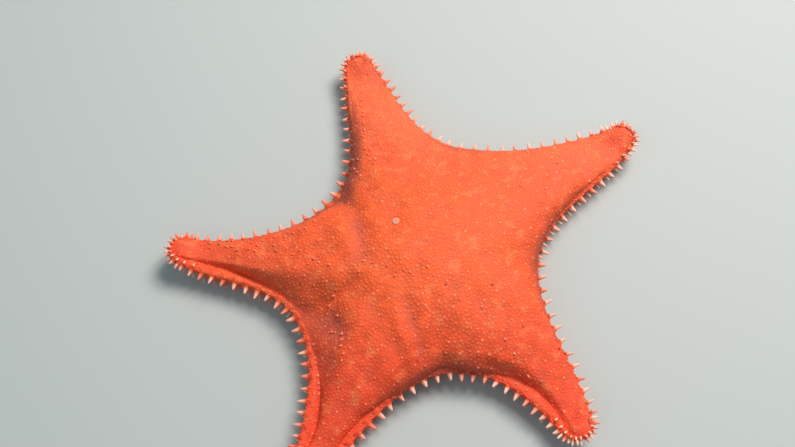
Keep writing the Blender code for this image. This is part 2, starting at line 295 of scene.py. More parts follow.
def lay_ribs(half, share):
    """The points of these ribs, (ribs, columns, 3), and for each point how far down its dome it
    is, from 0 at the crown to 1 at the rim, and how far round the rim, from 1 to 2, and under
    the sole, from 2 to 3, and in the furrow, from 3 to 4."""
    foot, way, width = half.facing(share)
    s = share[:, None]
    rim = between(RIM_HEIGHT, OPEN_RIM_HEIGHT, half, s)
    seam, keel = along(SEAM_HEIGHT, s), along(KEEL_HEIGHT, s)
    ledge, sole_inset = between(LEDGE, OPEN_LEDGE, half, s), along(SOLE_INSET, s)
    groove = rim - between(GROOVE_DROP, OPEN_GROOVE_DROP, half, s)
    crease = half.crease * np.exp(-((s * PLATES) ** 2))
    dome_width = width - ledge - crease

    q = np.sin(np.linspace(0, math.pi / 2, DOME_COLUMNS + 1))[None]
    dome_across = dome_width * q
    rise = (1 - q ** between(*half.shoulders, half, s)) ** between(FOOT, OPEN_FOOT, half, s)
    top = crown(half, s, foot[:, None] + way[:, None] * dome_across[..., None]) - groove
    dome_height = groove + top * rise - crease * smooth(q * 1.4 - 0.4) * rise

    across = [dome_across[:, -3:-2], dome_width, width - RIM_INNER * ledge]
    across += [width - RIM_OUTER * ledge, width - SEAM_INSET, width - KEEL_INSET]
    across += [width - sole_inset, width - sole_inset - 4 * MM]
    height = [dome_height[:, -3:-2], groove, rim, rim - RIM_FALL, seam, keel, 0 * keel, 0 * keel]
    rim_across, rim_height = through(across, RIM_STEPS), through(height, RIM_STEPS)
    round_rim = np.linspace(0, 1, rim_across.shape[1] + 1)[None, 1:]
    plate = 0.5 - 0.5 * np.cos(2 * math.pi * s * PLATES)
    rim_across = rim_across + PLATE_SWELL * plate * np.sin(math.pi * round_rim)
    rim_across = rim_across - SEAM_DIP * np.exp(-(((round_rim - SEAM_AT) / 0.06) ** 2))

    edge = furrow_edge(half, share, way)
    t = np.linspace(0, 1, SOLE_COLUMNS + 1)[None, 1:]
    sole_start = width - sole_inset
    sole_across = sole_start + (edge - sole_start) * t
    sole_height = SOLE_HOLLOW * np.sin(math.pi * t) * (sole_start > 2 * edge)
    t = np.linspace(0, 1, FURROW_COLUMNS + 1)[None, 1:]
    depth = FURROW_DEPTH + (MOUTH_DEPTH - FURROW_DEPTH) * smooth(1 - s * PLATES)
    across = np.hstack([dome_across, rim_across, sole_across, edge * (1 - t)])
    height = [dome_height, rim_height, sole_height, depth * np.sin(math.pi / 2 * t)]
    height = np.maximum(np.hstack(height), 0)
    place = foot[:, None] + way[:, None] * across[..., None]
    height = height + half.lift(place)[0]
    counts = (rim_across.shape[1], SOLE_COLUMNS, FURROW_COLUMNS)
    column = [q[0]] + [k + np.linspace(0, 1, n + 1)[1:] for k, n in enumerate(counts, 1)]
    column = np.concatenate(column)
    return np.dstack([place, height]), np.broadcast_to(column, height.shape)


ROWS_PER_PLATE = 5
shares = np.linspace(0, 1, PLATES * ROWS_PER_PLATE + 1)
patches = [lay_ribs(half, shares) for half in halves]
print("each half ray has", patches[0][0].shape[:2], "ribs and columns")

# %% [markdown]
# ## Folds and dents
#
# A living star is never even. Flesh bulges beside the creases that run in from the notches,
# and the pressed mud and its own weight leave dents. Sculpting would do it, but a fold can also
# be written down: a line on the plan, how wide and deep it is, and how far the flesh rises on
# its left and right. The skin is then pushed in or out along its own normals.

# %% Folds on the back
FOLDS = (  # points of the line in mm from the centre, half width, depth, rise left, rise right
    (((-8, -28), (-3, -43), (0, -53), (2, -60)), 3.4, 1.5, 0.3, 1.2),
    (((-74, -35), (-64, -36), (-54, -37), (-45, -39)), 6.5, 1.9, 0.5, 0.3),
    (((-52, -28), (-49, -40), (-48, -54), (-50, -68)), 6.0, 1.5, 0.2, 0.4),
    (((55, -68), (47, -65), (41, -62), (33, -62)), 2.6, 1.6, 0.3, 0.8),
    (((-43, 38), (-36, 22), (-32, 4), (-30, -12)), 5.0, 1.3, 0.3, 0.5),
    (((66, 2), (56, 1), (45, 2)), 4.0, 0.5, 0.2, 0.2),
)
DENTS = (  # place in mm, half width, depth
    ((-9, -14), 3.0, 0.8),
    ((-33, -2), 5.0, 0.8),
    ((-20, 34), 7.0, 0.5),
    ((115, 80), 3.6, 1.2),
)
LUMP = 0.0005
RISE_AT = 2.2  # half widths from the line, where the flesh rises beside a fold


def from_line(place, line):
    """How far places lie from a broken line, to its left if above 0, and how far along it."""
    best = np.full(place.shape[:-1], 1e9)
    side, travel = np.zeros_like(best), np.zeros_like(best)
    line = np.array(line, float) * MM
    for k, (a, b) in enumerate(zip(line, line[1:])):
        run = b - a
        t = np.clip((place - a) @ run / (run @ run), 0, 1)
        off = place - (a + run * t[..., None])
        far = np.linalg.norm(off, axis=-1)
        left = np.sign(run[0] * off[..., 1] - run[1] * off[..., 0])
        nearer = far < best
        best = np.where(nearer, far, best)
        side = np.where(nearer, far * left, side)
        travel = np.where(nearer, (k + t) / (len(line) - 1), travel)
    return side, travel


def waves(place, length, seed):
    """A soft random relief between about -1 and 1, with hollows about a length apart."""
    rng = np.random.default_rng(seed)
    total = 0
    for _ in range(7):
        way = unit(rng.uniform(0, 360)) * 2 * math.pi / (length * rng.uniform(0.7, 1.5))
        total = total + np.sin(place @ way + rng.uniform(0, 6.3))
    return total / 3.5


def relief(place):
    """How far the back is pushed out at these places."""
    push = LUMP * waves(place, 22 * MM, 3) + 0.4 * LUMP * waves(place, 9 * MM, 4)
    for line, wide, deep, left, right in FOLDS:
        side, travel = from_line(place, line)
        ends = np.sin(math.pi * np.clip(travel, 0.02, 0.98)) ** 0.6
        side = side / (wide * MM)
        for height, at in ((-deep, 0), (left, RISE_AT), (right, -RISE_AT)):
            push = push + height * MM * np.exp(-((side - at) ** 2)) * ends
    for (x, y), wide, deep in DENTS:
        far = np.linalg.norm(place - np.array([x, y]) * MM, axis=-1) / (wide * MM)
        push = push - deep * MM * np.exp(-(far**2))
    return push


# %% [markdown]
# ## One skin
#
# Flesh has no seams, so one skin covers the disc and the rays. The ribs of the ten half rays
# share the points where they meet, and those are joined first, so that the normals are the
# same on both sides. Then the skin is drawn in by the depth of its grains, and each half ray
# gets its own square of the map that the colours are kept in.

# %% Join the half rays
COAT = 0.0005  # the height of the grains over the skin
FULLY_HOLLOW = 2 * MM  # a fold this deep gets the full painted shade of a hollow


def normals_of(points, triangles):
    """The mean normal at each point."""
    a, b, c = (points[triangles[:, k]] for k in range(3))
    face = np.cross(b - a, c - a)
    total = np.zeros_like(points)
    for k in range(3):
        np.add.at(total, triangles[:, k], face)
    return total / np.maximum(np.linalg.norm(total, axis=1, keepdims=True), 1e-18)


def grid_quads(rows, columns, flip):
    """The corners of a grid's quads, as indices into its points."""
    index = np.arange(rows * columns).reshape(rows, columns)
    corners = [index[:-1, :-1], index[:-1, 1:], index[1:, 1:], index[1:, :-1]]
    quads = np.stack(corners[::-1] if flip else corners, -1)
    return quads.reshape(-1, 4)


rows, columns = patches[0][0].shape[:2]
everywhere = np.concatenate([points.reshape(-1, 3) for points, _ in patches])
_, first, joined = np.unique(
    np.round(everywhere / 1e-7).astype(np.int64), axis=0, return_index=True, return_inverse=True
)
joined = joined.reshape(-1)
skin_points = everywhere[first]
patch_quads = [
    grid_quads(rows, columns, half.side > 0) + rows * columns * half.number for half in halves
]
own_quads = np.concatenate(patch_quads)
quads = joined[own_quads]
triangles = np.concatenate([quads[:, [0, 1, 2]], quads[:, [0, 2, 3]]])
skin_normals = normals_of(skin_points, triangles)
column_of = np.concatenate([column.reshape(-1) for _, column in patches])
reach_of = [half.lift(points[..., :2])[1] for half, (points, _) in zip(halves, patches)]
reach_of = np.concatenate(reach_of).reshape(-1)
# A side that leans counts as rolled the other way, below 0, which spreads the painted shade further
# up its flank.
LEAN = (0.6, 1.0, 0.3)
rolled_of = [
    np.minimum(1, openness_at(half, shares)) - along(LEAN, shares) * half.leaning
    for half in halves
]
rolled_of = np.repeat(np.concatenate(rolled_of), columns)
on_back = smooth((1 - column_of[first]) * 8)
push = relief(skin_points[:, :2]) * on_back
hollow_of = np.clip(-push / FULLY_HOLLOW, 0, 1)
skin_points = skin_points + skin_normals * (push - COAT)[:, None] + CENTRE
skin_points[:, 2] = np.maximum(skin_points[:, 2], COAT)
skin_normals = normals_of(skin_points, triangles)
print("the skin has", len(skin_points), "points, lowest at", skin_points[:, 2].min() / MM, "mm")

# %% Map of the skin
MAP_COLUMNS, MAP_ROWS = 5, 2
MAP_BORDER = 0.03


def map_of(half, u, v):
    """The skin map's coordinates at these shares of a half ray's columns and of its rows."""
    cell = np.stack([u, v], -1) * (1 - 2 * MAP_BORDER) + MAP_BORDER
    corner = np.array([half.number % MAP_COLUMNS, half.number // MAP_COLUMNS])
    return (cell + corner) / (MAP_COLUMNS, MAP_ROWS)


over_grid = np.meshgrid(np.linspace(0, 1, columns), shares)
skin_map = np.concatenate([map_of(half, *over_grid) for half in halves]).reshape(-1, 2)


def new_mesh(name, points, faces, corner_map=None, **values):
    """A smooth mesh object. faces is a list of index arrays of 3 or 4 columns, and corner_map
    gives each face corner's place on the map. Each value is an attribute of the points."""
    data = bpy.data.meshes.new(name)
    sizes = np.concatenate([np.full(len(f), f.shape[1]) for f in faces])
    corners = np.concatenate([f.reshape(-1) for f in faces])
    data.vertices.add(len(points))
    data.vertices.foreach_set("co", np.asarray(points, np.float32).reshape(-1))
    data.loops.add(len(corners))
    data.loops.foreach_set("vertex_index", corners.astype(np.int32))
    data.polygons.add(len(sizes))
    starts = np.concatenate([[0], np.cumsum(sizes)[:-1]])
    data.polygons.foreach_set("loop_start", starts.astype(np.int32))
    data.polygons.foreach_set("use_smooth", np.ones(len(sizes), bool))
    if corner_map is not None:
        layer = data.uv_layers.new(name="OFBake")
        layer.data.foreach_set("uv", corner_map.astype(np.float32).reshape(-1))
    for attribute, value in values.items():
        layer = data.attributes.new(attribute, "FLOAT", "POINT")
        layer.data.foreach_set("value", np.asarray(value, np.float32))
    data.update()
    data.validate()
    piece = bpy.data.objects.new(name, data)
    bpy.context.scene.collection.objects.link(piece)
    return piece


# %% Make the skin
def split_quads(quads, own):
    """Whole quads, and triangles where two corners of a quad are one point."""
    same = [quads[:, k] == quads[:, (k + 1) % 4] for k in range(4)]
    whole = ~(same[0] | same[1] | same[2] | same[3])
    faces, owns = [quads[whole]], [own[whole]]
    for k in range(4):
        only = same[k] & ~(same[(k + 1) % 4] | same[(k + 2) % 4] | same[(k + 3) % 4])
        keep = [j for j in range(4) if j != k]
        faces.append(quads[only][:, keep])
        owns.append(own[only][:, keep])
    return faces, owns


faces, owns = split_quads(quads, own_quads)
corner_map = np.concatenate([skin_map[own.reshape(-1)] for own in owns])
skin = new_mesh(
    "skin",
    skin_points,
    faces,
    corner_map,
    rolled=rolled_of[first],
    reach=reach_of[first],
    section=column_of[first],
    hollow=hollow_of,
)
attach(skin, "root")
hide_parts("disc", *RAYS)
print("skin faces:", len(skin.data.polygons))

# %% [markdown]
# ## Colours of the flesh
#
# The back is orange at its heart and redder along the rays and at the tips, and paler
# underneath. Each grain is lighter on top than the skin round it, which gives the fine net; the
# net is redder, and painted shade darkens the crevice round the foot of each grain. Painted
# shade also turns the steep sides brownish low down, darkens the folds and reddens the front
# rays, far from the lamp, and painted light makes the back ray yellower and the grain tops paler
# on the lit right side. The skin and all that grows on it share these markings, so they come
# from one node group that reads where a point is: how far out, how far round the section, and how
# high on its grain. Paint would be another way, but it would have to be made again for each piece.

# %% Helpers for nodes
class Wires:
    """Adds nodes to a tree and joins them. An input is a number, a colour or another socket."""

    def __init__(self, tree):
        self.tree = tree

    def set(self, socket, value):
        if isinstance(value, bpy.types.NodeSocket):
            self.tree.links.new(value, socket)
        elif value is not None:
            socket.default_value = value

    def add(self, kind, settings=None, **inputs):
        node = self.tree.nodes.new("ShaderNode" + kind)
        for key, value in (settings or {}).items():
            setattr(node, key, value)
        for key, value in inputs.items():
            self.set(node.inputs[key.replace("_", " ")], value)
        return node

    def math(self, operation, a, b=None, c=None):
        node = self.tree.nodes.new("ShaderNodeMath")
        node.operation = operation
        for socket, value in zip(node.inputs, (a, b, c)):
            self.set(socket, value)
        return node.outputs[0]

    def times(self, a, b):
        return self.math("MULTIPLY", a, b)

    def mix(self, share, a, b, blend="MIX"):
        node = self.tree.nodes.new("ShaderNodeMix")
        node.data_type = "RGBA"
        node.blend_type = blend
        self.set(node.inputs[0], share)
        self.set(node.inputs[6], a)
        self.set(node.inputs[7], b)
        return node.outputs[2]

    def span(self, value, low, high, to_low=0.0, to_high=1.0):
        """The value's place between low and high, smoothly, within the second pair."""
        node = self.tree.nodes.new("ShaderNodeMapRange")
        node.interpolation_type = "SMOOTHSTEP"
        for socket, number in zip(node.inputs, (value, low, high, to_low, to_high)):
            self.set(socket, number)
        return node.outputs[0]

    def noise(self, place, scale, detail=2.0, roughness=0.5):
        inputs = {"Vector": place, "Scale": scale, "Detail": detail, "Roughness": roughness}
        return self.add("TexNoise", None, **inputs).outputs["Fac"]


def new_group(name, inputs, outputs):
    """An empty node group. Sockets are (name, kind, value), with kind Float, Color or Vector."""
    group = bpy.data.node_groups.new(name, "ShaderNodeTree")
    for socket, kind, value in inputs:
        made = group.interface.new_socket(socket, in_out="INPUT", socket_type="NodeSocket" + kind)
        made.default_value = value
    for socket, kind in outputs:
        group.interface.new_socket(socket, in_out="OUTPUT", socket_type="NodeSocket" + kind)
    start = group.nodes.new("NodeGroupInput").outputs
    end = group.nodes.new("NodeGroupOutput").inputs
    return group, Wires(group), start, end


# %% Markings
HEART = (0.93, 0.122, 0.026, 1)
RAY = (0.92, 0.112, 0.034, 1)
TIP_RED_AND_SHADE = (0.90, 0.066, 0.022, 1)  # the tips' own tint, and painted shade over the front rays and in folds near the tips
PAINTED_GLOW = (0.92, 0.180, 0.066, 1)  # painted light over the back ray, nearer the lamp
ROSE = (0.93, 0.112, 0.040, 1)
SMUDGE = (0.98, 0.245, 0.078, 1)
# Painted shade, brownish, low on the steep sides and the rim below them.
FLANK_SHADE = (0.25, 0.058, 0.038, 1)
SOLE = (0.86, 0.330, 0.160, 1)
NET_AND_CREVICE_SHADE = (0.60, 0.050, 0.018, 1)
VALLEY_SHADE = (0.46, 0.105, 0.078, 1)
GRAIN_TOP = (0.97, 0.240, 0.118, 1)

READ_FROM_MESH = ("Reach", "Section", "Hollow", "Rolled", "Height", "Shade")
markings, wires, given, out = new_group(
    "Star Markings, Painted Shade and Light",
    [(name, "Float", 0.0) for name in READ_FROM_MESH]
    + [
        ("Top Colour", "Color", GRAIN_TOP),
        ("Top Amount", "Float", 0.6),
        ("Top From", "Float", 0.5),
        ("Top To", "Float", 1.0),
    ],
    [("Color", "Color"), ("Roughness", "Float")],
)
place = wires.add("TexCoord").outputs["Object"]
patches_wide = wires.noise(place, 30.0, 3.0)
patches_fine = wires.noise(place, 210.0, 3.0, 0.6)
smudges = wires.noise(place, 150.0, 1.0)
right, front, _ = wires.add("SeparateXYZ", None, Vector=place).outputs
colour = wires.mix(wires.span(given["Reach"], 0.12, 0.75), HEART, RAY)
# Painted light: the back ray is yellower, nearer the lamp.
colour = wires.mix(wires.span(front, 0.030, 0.095, 0.0, 0.8), colour, PAINTED_GLOW)
# Painted shade: the front rays, far from the lamp, are redder; the tips are redder of their own.
tip_red_and_front_shade = wires.times(wires.span(front, -0.020, -0.095), 0.75)
tip_red_and_front_shade = wires.math("MAXIMUM", tip_red_and_front_shade, wires.span(given["Reach"], 0.78, 0.98, 0.0, 0.55))
colour = wires.mix(tip_red_and_front_shade, colour, TIP_RED_AND_SHADE)
colour = wires.mix(wires.span(patches_wide, 0.48, 0.70, 0.0, 0.45), colour, ROSE)
colour = wires.mix(wires.span(smudges, 0.54, 0.74, 0.0, 0.45), colour, SMUDGE)
# Painted shade: the steep sides low on the back and the rim below them turn brownish dark, most near
# the disc and furthest up on sides that lean, fading out under the rim and on an open roll.
lean = wires.math("MAXIMUM", wires.times(given["Rolled"], -1.0), 0.0)
flank = wires.math("MULTIPLY_ADD", lean, 0.24, given["Section"])
side = wires.times(wires.span(flank, 0.84, 1.05), 0.82)
outer = wires.math("SUBTRACT", given["Reach"], wires.times(lean, 0.15))
side = wires.times(side, wires.span(outer, 0.85, 0.35))
rolled = wires.math("MAXIMUM", given["Rolled"], 0.0)
on_roll = wires.times(wires.span(given["Section"], 1.05, 1.22), rolled)
side = wires.times(side, wires.span(given["Section"], 1.95, 1.35))
side = wires.times(side, wires.math("SUBTRACT", 1.0, on_roll))
colour = wires.mix(side, colour, FLANK_SHADE)
colour = wires.mix(wires.span(given["Section"], 1.65, 2.10), colour, SOLE)
# Painted shade in the folds and dents: brownish, and redder near the tips.
valley_shade = wires.mix(wires.span(given["Reach"], 0.74, 0.88), VALLEY_SHADE, TIP_RED_AND_SHADE)
colour = wires.mix(wires.times(given["Hollow"], 0.6), colour, valley_shade)
# The redder net between the grains, with painted shade: the skin and the foot of each grain are
# darker.
crevice_shade = wires.span(given["Height"], 0.45, 0.0, 0.0, 0.25)
colour = wires.mix(crevice_shade, colour, NET_AND_CREVICE_SHADE)
top = wires.span(given["Height"], given["Top From"], given["Top To"])
top = wires.times(top, given["Top Amount"])
top = wires.times(top, wires.span(given["Shade"], 0.0, 1.0, 0.30, 1.0))
# Painted light: grain tops are paler on the lit right side.
top = wires.times(top, wires.span(right, -0.03, 0.05, 0.92, 1.45))
colour = wires.mix(top, colour, given["Top Colour"])
fine = wires.span(patches_fine, 0.30, 0.72, 0.86, 1.08)
grey = wires.add("CombineColor", None, Red=fine, Green=fine, Blue=fine).outputs[0]
colour = wires.mix(1.0, colour, grey, "MULTIPLY")
wires.set(out["Color"], colour)
wires.set(out["Roughness"], wires.span(patches_fine, 0.3, 0.7, 0.50, 0.68))

# %% Fine grain
grain, wires, given, out = new_group(
    "Fine Grain",
    [("Size", "Float", 0.0005), ("Depth", "Float", 1.0)],
    [("Height", "Float")],
)
place = wires.add("TexCoord").outputs["Object"]
scale = wires.math("DIVIDE", 1.0, given["Size"])
cells = wires.add("TexVoronoi", {"feature": "SMOOTH_F1"}, Vector=place, Scale=scale)
bumps = wires.span(cells.outputs["Distance"], 0.55, 0.05)
rough = wires.noise(place, wires.times(scale, 2.3), 2.0)
height = wires.math("ADD", bumps, wires.times(rough, 0.4))
wires.set(out["Height"], wires.times(height, given["Depth"]))


# %% Materials of flesh
def attribute(wires, name):
    return wires.add("Attribute", {"attribute_name": name}).outputs["Fac"]


def new_material(name, grain_size, strength, depth):
    """A material with a fine grain pressed into its surface. With it come its wires, its
    shader's inputs and the height of the grain."""
    made = bpy.data.materials.new(name)
    made.use_nodes = True
    wires = Wires(made.node_tree)
    shader = made.node_tree.nodes["Principled BSDF"].inputs
    fine = wires.add("Group", {"node_tree": grain})
    fine.inputs["Size"].default_value = grain_size
    relief = wires.add("Bump", None, Strength=strength, Distance=depth)
    wires.set(relief.inputs["Height"], fine.outputs["Height"])
    wires.set(shader["Normal"], relief.outputs["Normal"])
    return made, wires, shader, fine.outputs["Height"]


def let_light_in(shader, weight, scale):
    """Light that sinks into soft flesh and comes out redder."""
    shader["Subsurface Weight"].default_value = weight
    shader["Subsurface Radius"].default_value = (1.0, 0.35, 0.2)
    shader["Subsurface Scale"].default_value = scale


def new_flesh(name, top_colour, top_amount, grain_size, top_span=(0.5, 1.0)):
    """A material with the star's markings, its painted shade and light, a fine grain and light that
    sinks in a little. The top colour comes in over the top span of each small piece's height."""
    made, wires, shader, _ = new_material(name, grain_size, 0.35, grain_size * 0.4)
    marks = wires.add("Group", {"node_tree": markings})
    for name in READ_FROM_MESH:
        wires.set(marks.inputs[name], attribute(wires, name.lower()))
    marks.inputs["Top Colour"].default_value = top_colour
    marks.inputs["Top Amount"].default_value = top_amount
    marks.inputs["Top From"].default_value, marks.inputs["Top To"].default_value = top_span
    wires.set(shader["Base Color"], marks.outputs["Color"])
    wires.set(shader["Roughness"], marks.outputs["Roughness"])
    shader["Specular IOR Level"].default_value = 0.22
    let_light_in(shader, 0.12, 0.0015)
    return made


SPINE_TIP = (0.95, 0.51, 0.38, 1)
SPINELET_TIP = (0.96, 0.30, 0.17, 1)
PEG_TIP = (0.93, 0.60, 0.45, 1)
GILL = (0.24, 0.022, 0.012, 1)
skin_flesh = new_flesh("skin of the star", GRAIN_TOP, 0.0, 0.0006)
grain_flesh = new_flesh("grains", GRAIN_TOP, 0.40, 0.0004)
spine_flesh = new_flesh("spines", SPINE_TIP, 0.95, 0.0004, top_span=(0.12, 0.60))
spinelet_flesh = new_flesh("spinelets", SPINELET_TIP, 0.85, 0.0004, top_span=(-0.35, 0.3))
peg_flesh = new_flesh("lower spines", PEG_TIP, 1.0, 0.0004, top_span=(0.0, 0.45))
knob_flesh = new_flesh("low spinelets", GRAIN_TOP, 0.65, 0.0004, top_span=(0.0, 0.8))
gill_flesh = new_flesh("gills", GILL, 0.9, 0.0004, top_span=(0.0, 0.5))
skin.data.materials.append(skin_flesh)

# %% [markdown]
# ## Small things on the skin
#
# Spines, pegs, grains, gills and feet are all small solids that stand on the skin, and there
# are thousands. Each kind is one shape, turned like a chair leg, and a loop could set down one
# object for each. Joined meshes are lighter: the copies of a kind are worked out together as
# one array of points, each with its foot in the skin, its own lean and width, and its own spot
# on the skin's map.

# %% Places on the skin
grid = joined.reshape(len(halves), rows, columns)
grids = {
    "place": skin_points[grid],
    "normal": skin_normals[grid],
    "map": skin_map.reshape(*grid.shape, 2),
    "reach": reach_of.reshape(grid.shape),
    "section": column_of.reshape(grid.shape),
    "hollow": hollow_of[grid],
    "rolled": rolled_of.reshape(grid.shape),
}


def blend_corners(values, cell, a, b):
    """The values at places within cells of the grids, each at (a, b) between its corners."""
    h, r, c = cell
    if values.ndim > 3:
        a, b = a[:, None], b[:, None]
    low = values[h, r, c] * (1 - b) + values[h, r, c + 1] * b
    high = values[h, r + 1, c] * (1 - b) + values[h, r + 1, c + 1] * b
    return low * (1 - a) + high * a


def pick(places, kept):
    return {key: value[kept] for key, value in places.items()}


def draw_places(count, sections, seed):
    """Random places on the skin within a range of sections, as a dictionary of arrays."""
    rng = np.random.default_rng(seed)
    points = grids["place"]
    run = points[:, 1:, :-1] - points[:, :-1, :-1]
    across = points[:, :-1, 1:] - points[:, :-1, :-1]
    area = np.linalg.norm(np.cross(run, across), axis=-1)
    middle = grids["section"][:, :-1, :-1]
    area = area * (middle >= sections[0]) * (middle <= sections[1])
    chance = area.reshape(-1) / area.sum()
    cell = np.unravel_index(rng.choice(len(chance), count, p=chance), area.shape)
    a, b = rng.uniform(size=(2, count))
    places = {key: blend_corners(values, cell, a, b) for key, values in grids.items()}
    length = np.linalg.norm(places["normal"], axis=1, keepdims=True)
    places["normal"] = places["normal"] / np.maximum(length, 1e-9)
    return places


def places_at(index):
    """The skin's own points, as places."""
    own = first[index]
    return {
        "place": skin_points[index],
        "normal": skin_normals[index],
        "map": skin_map[own],
        "reach": reach_of[own],
        "section": column_of[own],
        "hollow": np.zeros(len(index)),
        "rolled": rolled_of[own],
    }


def keep_apart(places, gap, *taken):
    """The places that stand no nearer to a kept one than gap, or to a taken one than its own
    gap. taken is any number of pairs of points and a gap."""
    points = places["place"].tolist()
    gap = np.broadcast_to(gap, len(points)).tolist()
    size = max([max(gap)] + [far for _, far in taken])
    cells = {}

    def cell_of(p):
        return int(p[0] // size), int(p[1] // size), int(p[2] // size)

    for others, far in taken:
        for p in others.tolist():
            cells.setdefault(cell_of(p), []).append((*p, far))
    steps = [(i, j, k) for i in (-1, 0, 1) for j in (-1, 0, 1) for k in (-1, 0, 1)]
    kept = []
    for number, (p, own) in enumerate(zip(points, gap)):
        x, y, z = cell_of(p)
        near = (q for i, j, k in steps for q in cells.get((x + i, y + j, z + k), ()))
        if any(
            (p[0] - q[0]) ** 2 + (p[1] - q[1]) ** 2 + (p[2] - q[2]) ** 2 < (q[3] or own) ** 2
            for q in near
        ):
            continue
        cells.setdefault((x, y, z), []).append((*p, 0.0))
        kept.append(number)
    return pick(places, np.array(kept))


# %% A dome or a spike, and how to plant it
def turned_shape(sides, profile):
    """A closed solid of revolution, (points, triangles), from (radius, height) pairs that run
    from its foot to its top. A last radius of 0 makes a point."""
    angle = np.arange(sides) * 2 * math.pi / sides
    points = [np.array([[0, 0, profile[0][1]]])]
    for radius, height in profile:
        if radius:
            ring = np.stack([np.cos(angle), np.sin(angle)], -1) * radius
            points.append(np.column_stack([ring, np.full(sides, height)]))
    points.append(np.array([[0, 0, profile[-1][1]]]))
    points = np.concatenate(points)
    rings = (len(points) - 2) // sides
    last = len(points) - 1
    here, after = np.arange(sides), (np.arange(sides) + 1) % sides
    faces = [np.stack([0 * here, 1 + after, 1 + here], -1)]
    for k in range(rings - 1):
        low, high = 1 + k * sides, 1 + (k + 1) * sides
        faces.append(np.stack([low + here, low + after, high + after], -1))
        faces.append(np.stack([low + here, high + after, high + here], -1))
    low = 1 + (rings - 1) * sides
    faces.append(np.stack([low + here, low + after, 0 * here + last], -1))
    return points, np.concatenate(faces)


PATCH = 0.0015  # half of each small piece's spot on the map


def plant(name, shape, places, way, width, length, material, seed, bend=0.0):
    """Sets a copy of a shape at each place, along its way, and joins them in one mesh. bend is
    how far the tops lean aside, as a share of the length. Nothing goes below the floor."""
    rng = np.random.default_rng(seed)
    points, faces = shape
    count, each = len(way), len(points)
    way = way / np.linalg.norm(way, axis=1, keepdims=True)
    helper = np.where(np.abs(way[:, 2:]) < 0.9, [[0.0, 0, 1]], [[1.0, 0, 0]])
    side = np.cross(helper, way)
    side = side / np.linalg.norm(side, axis=1, keepdims=True)
    other = np.cross(way, side)
    spin = rng.uniform(0, 2 * math.pi, count)[:, None]
    lean = bend * rng.uniform(-1, 1, count)
    width, length = np.broadcast_to(width, count), np.broadcast_to(length, count)
    x = points[:, 0] * width[:, None] + points[:, 2] ** 2 * (lean * length)[:, None]
    y = points[:, 1] * width[:, None]
    x, y = x * np.cos(spin) - y * np.sin(spin), x * np.sin(spin) + y * np.cos(spin)
    up = points[:, 2] * length[:, None]
    made = places["place"][:, None] + x[..., None] * side[:, None] + y[..., None] * other[:, None]
    made = made + up[..., None] * way[:, None]
    made[..., 2] = np.maximum(made[..., 2], 0)
    shade = places.get("shade", rng.uniform(0, 1, count))
    triangles = faces[None] + (np.arange(count) * each)[:, None, None]
    spot = places["map"][:, None] + points[None, :, :2] / np.abs(points[:, :2]).max() * PATCH
    triangles = triangles.reshape(-1, 3)
    values = {key: np.repeat(places[key], each) for key in ("reach", "section", "hollow", "rolled")}
    piece = new_mesh(
        name,
        made.reshape(-1, 3),
        [triangles],
        spot.reshape(-1, 2)[triangles.reshape(-1)],
        **values,
        shade=np.repeat(shade, each),
        height=np.tile(np.clip(points[:, 2], 0, 1), count),
    )
    piece.data.materials.append(material)
    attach(piece, "root")
    print(f"{name}: {count} copies, {len(triangles)} triangles")


def sow(name, shape, places, width, length, material, seed, stray=0.0, bend=0.0, way=None):
    """Plants copies along the skin's normals, or another way, from which each strays a little.
    Widths and lengths are drawn between two shares of a size: (low, high, size)."""
    rng = np.random.default_rng(seed)
    count = len(places["place"])
    way = places["normal"] if way is None else way
    if np.any(stray):
        way = way + rng.normal(0, stray, (count, 3))
    width, length = (rng.uniform(low, high, count) * size for low, high, size in (width, length))
    plant(name, shape, places, way, width, length, material, seed + 1, bend)


# %% [markdown]
# ## Spines of the margin
#
# Each marginal plate carries one stout spine above, a blunt cone on a swollen foot, orange
# below and pale at its point, and one slender peg below it. They crowd towards the tips, which
# wear them as a rosette. They could be set by hand, but the plates are already counted along
# the margin, so each spine finds its plate, its heading and its length by the plate's number.

# %% Where marginal spines stand
SPINE_RADIUS = (0.0017, 0.0016, 0.0012)
UPPER_SPINE = (0.0060, 0.0058, 0.0040)
UPPER_SPINE_RISE = 12.0
UPPER_ROOT = 0.75  # how far up the rim's outer face the upper spines stand
LOWER_SPINE = (0.0050, 0.0046, 0.0032)
LOWER_SPINE_RISE = -4.0
CROWN_SPINE = 0.0031  # the short blunt spines that crowd round the top of a tip
CROWN_SPINE_RISE = 42.0


def on_rib(half, share, place, height, normal, u, section):
    """Places on the ribs of a half ray, as a dictionary. u is their share of its columns."""
    lift, reach = half.lift(place)
    return {
        "place": np.column_stack([place, height + lift]) + CENTRE,
        "normal": normal,
        "map": map_of(half, np.full(len(share), u), share),
        "reach": reach,
        "section": np.full(len(share), section),
        "hollow": np.zeros(len(share)),
        "rolled": np.ones(len(share)),
        "share": share,
    }


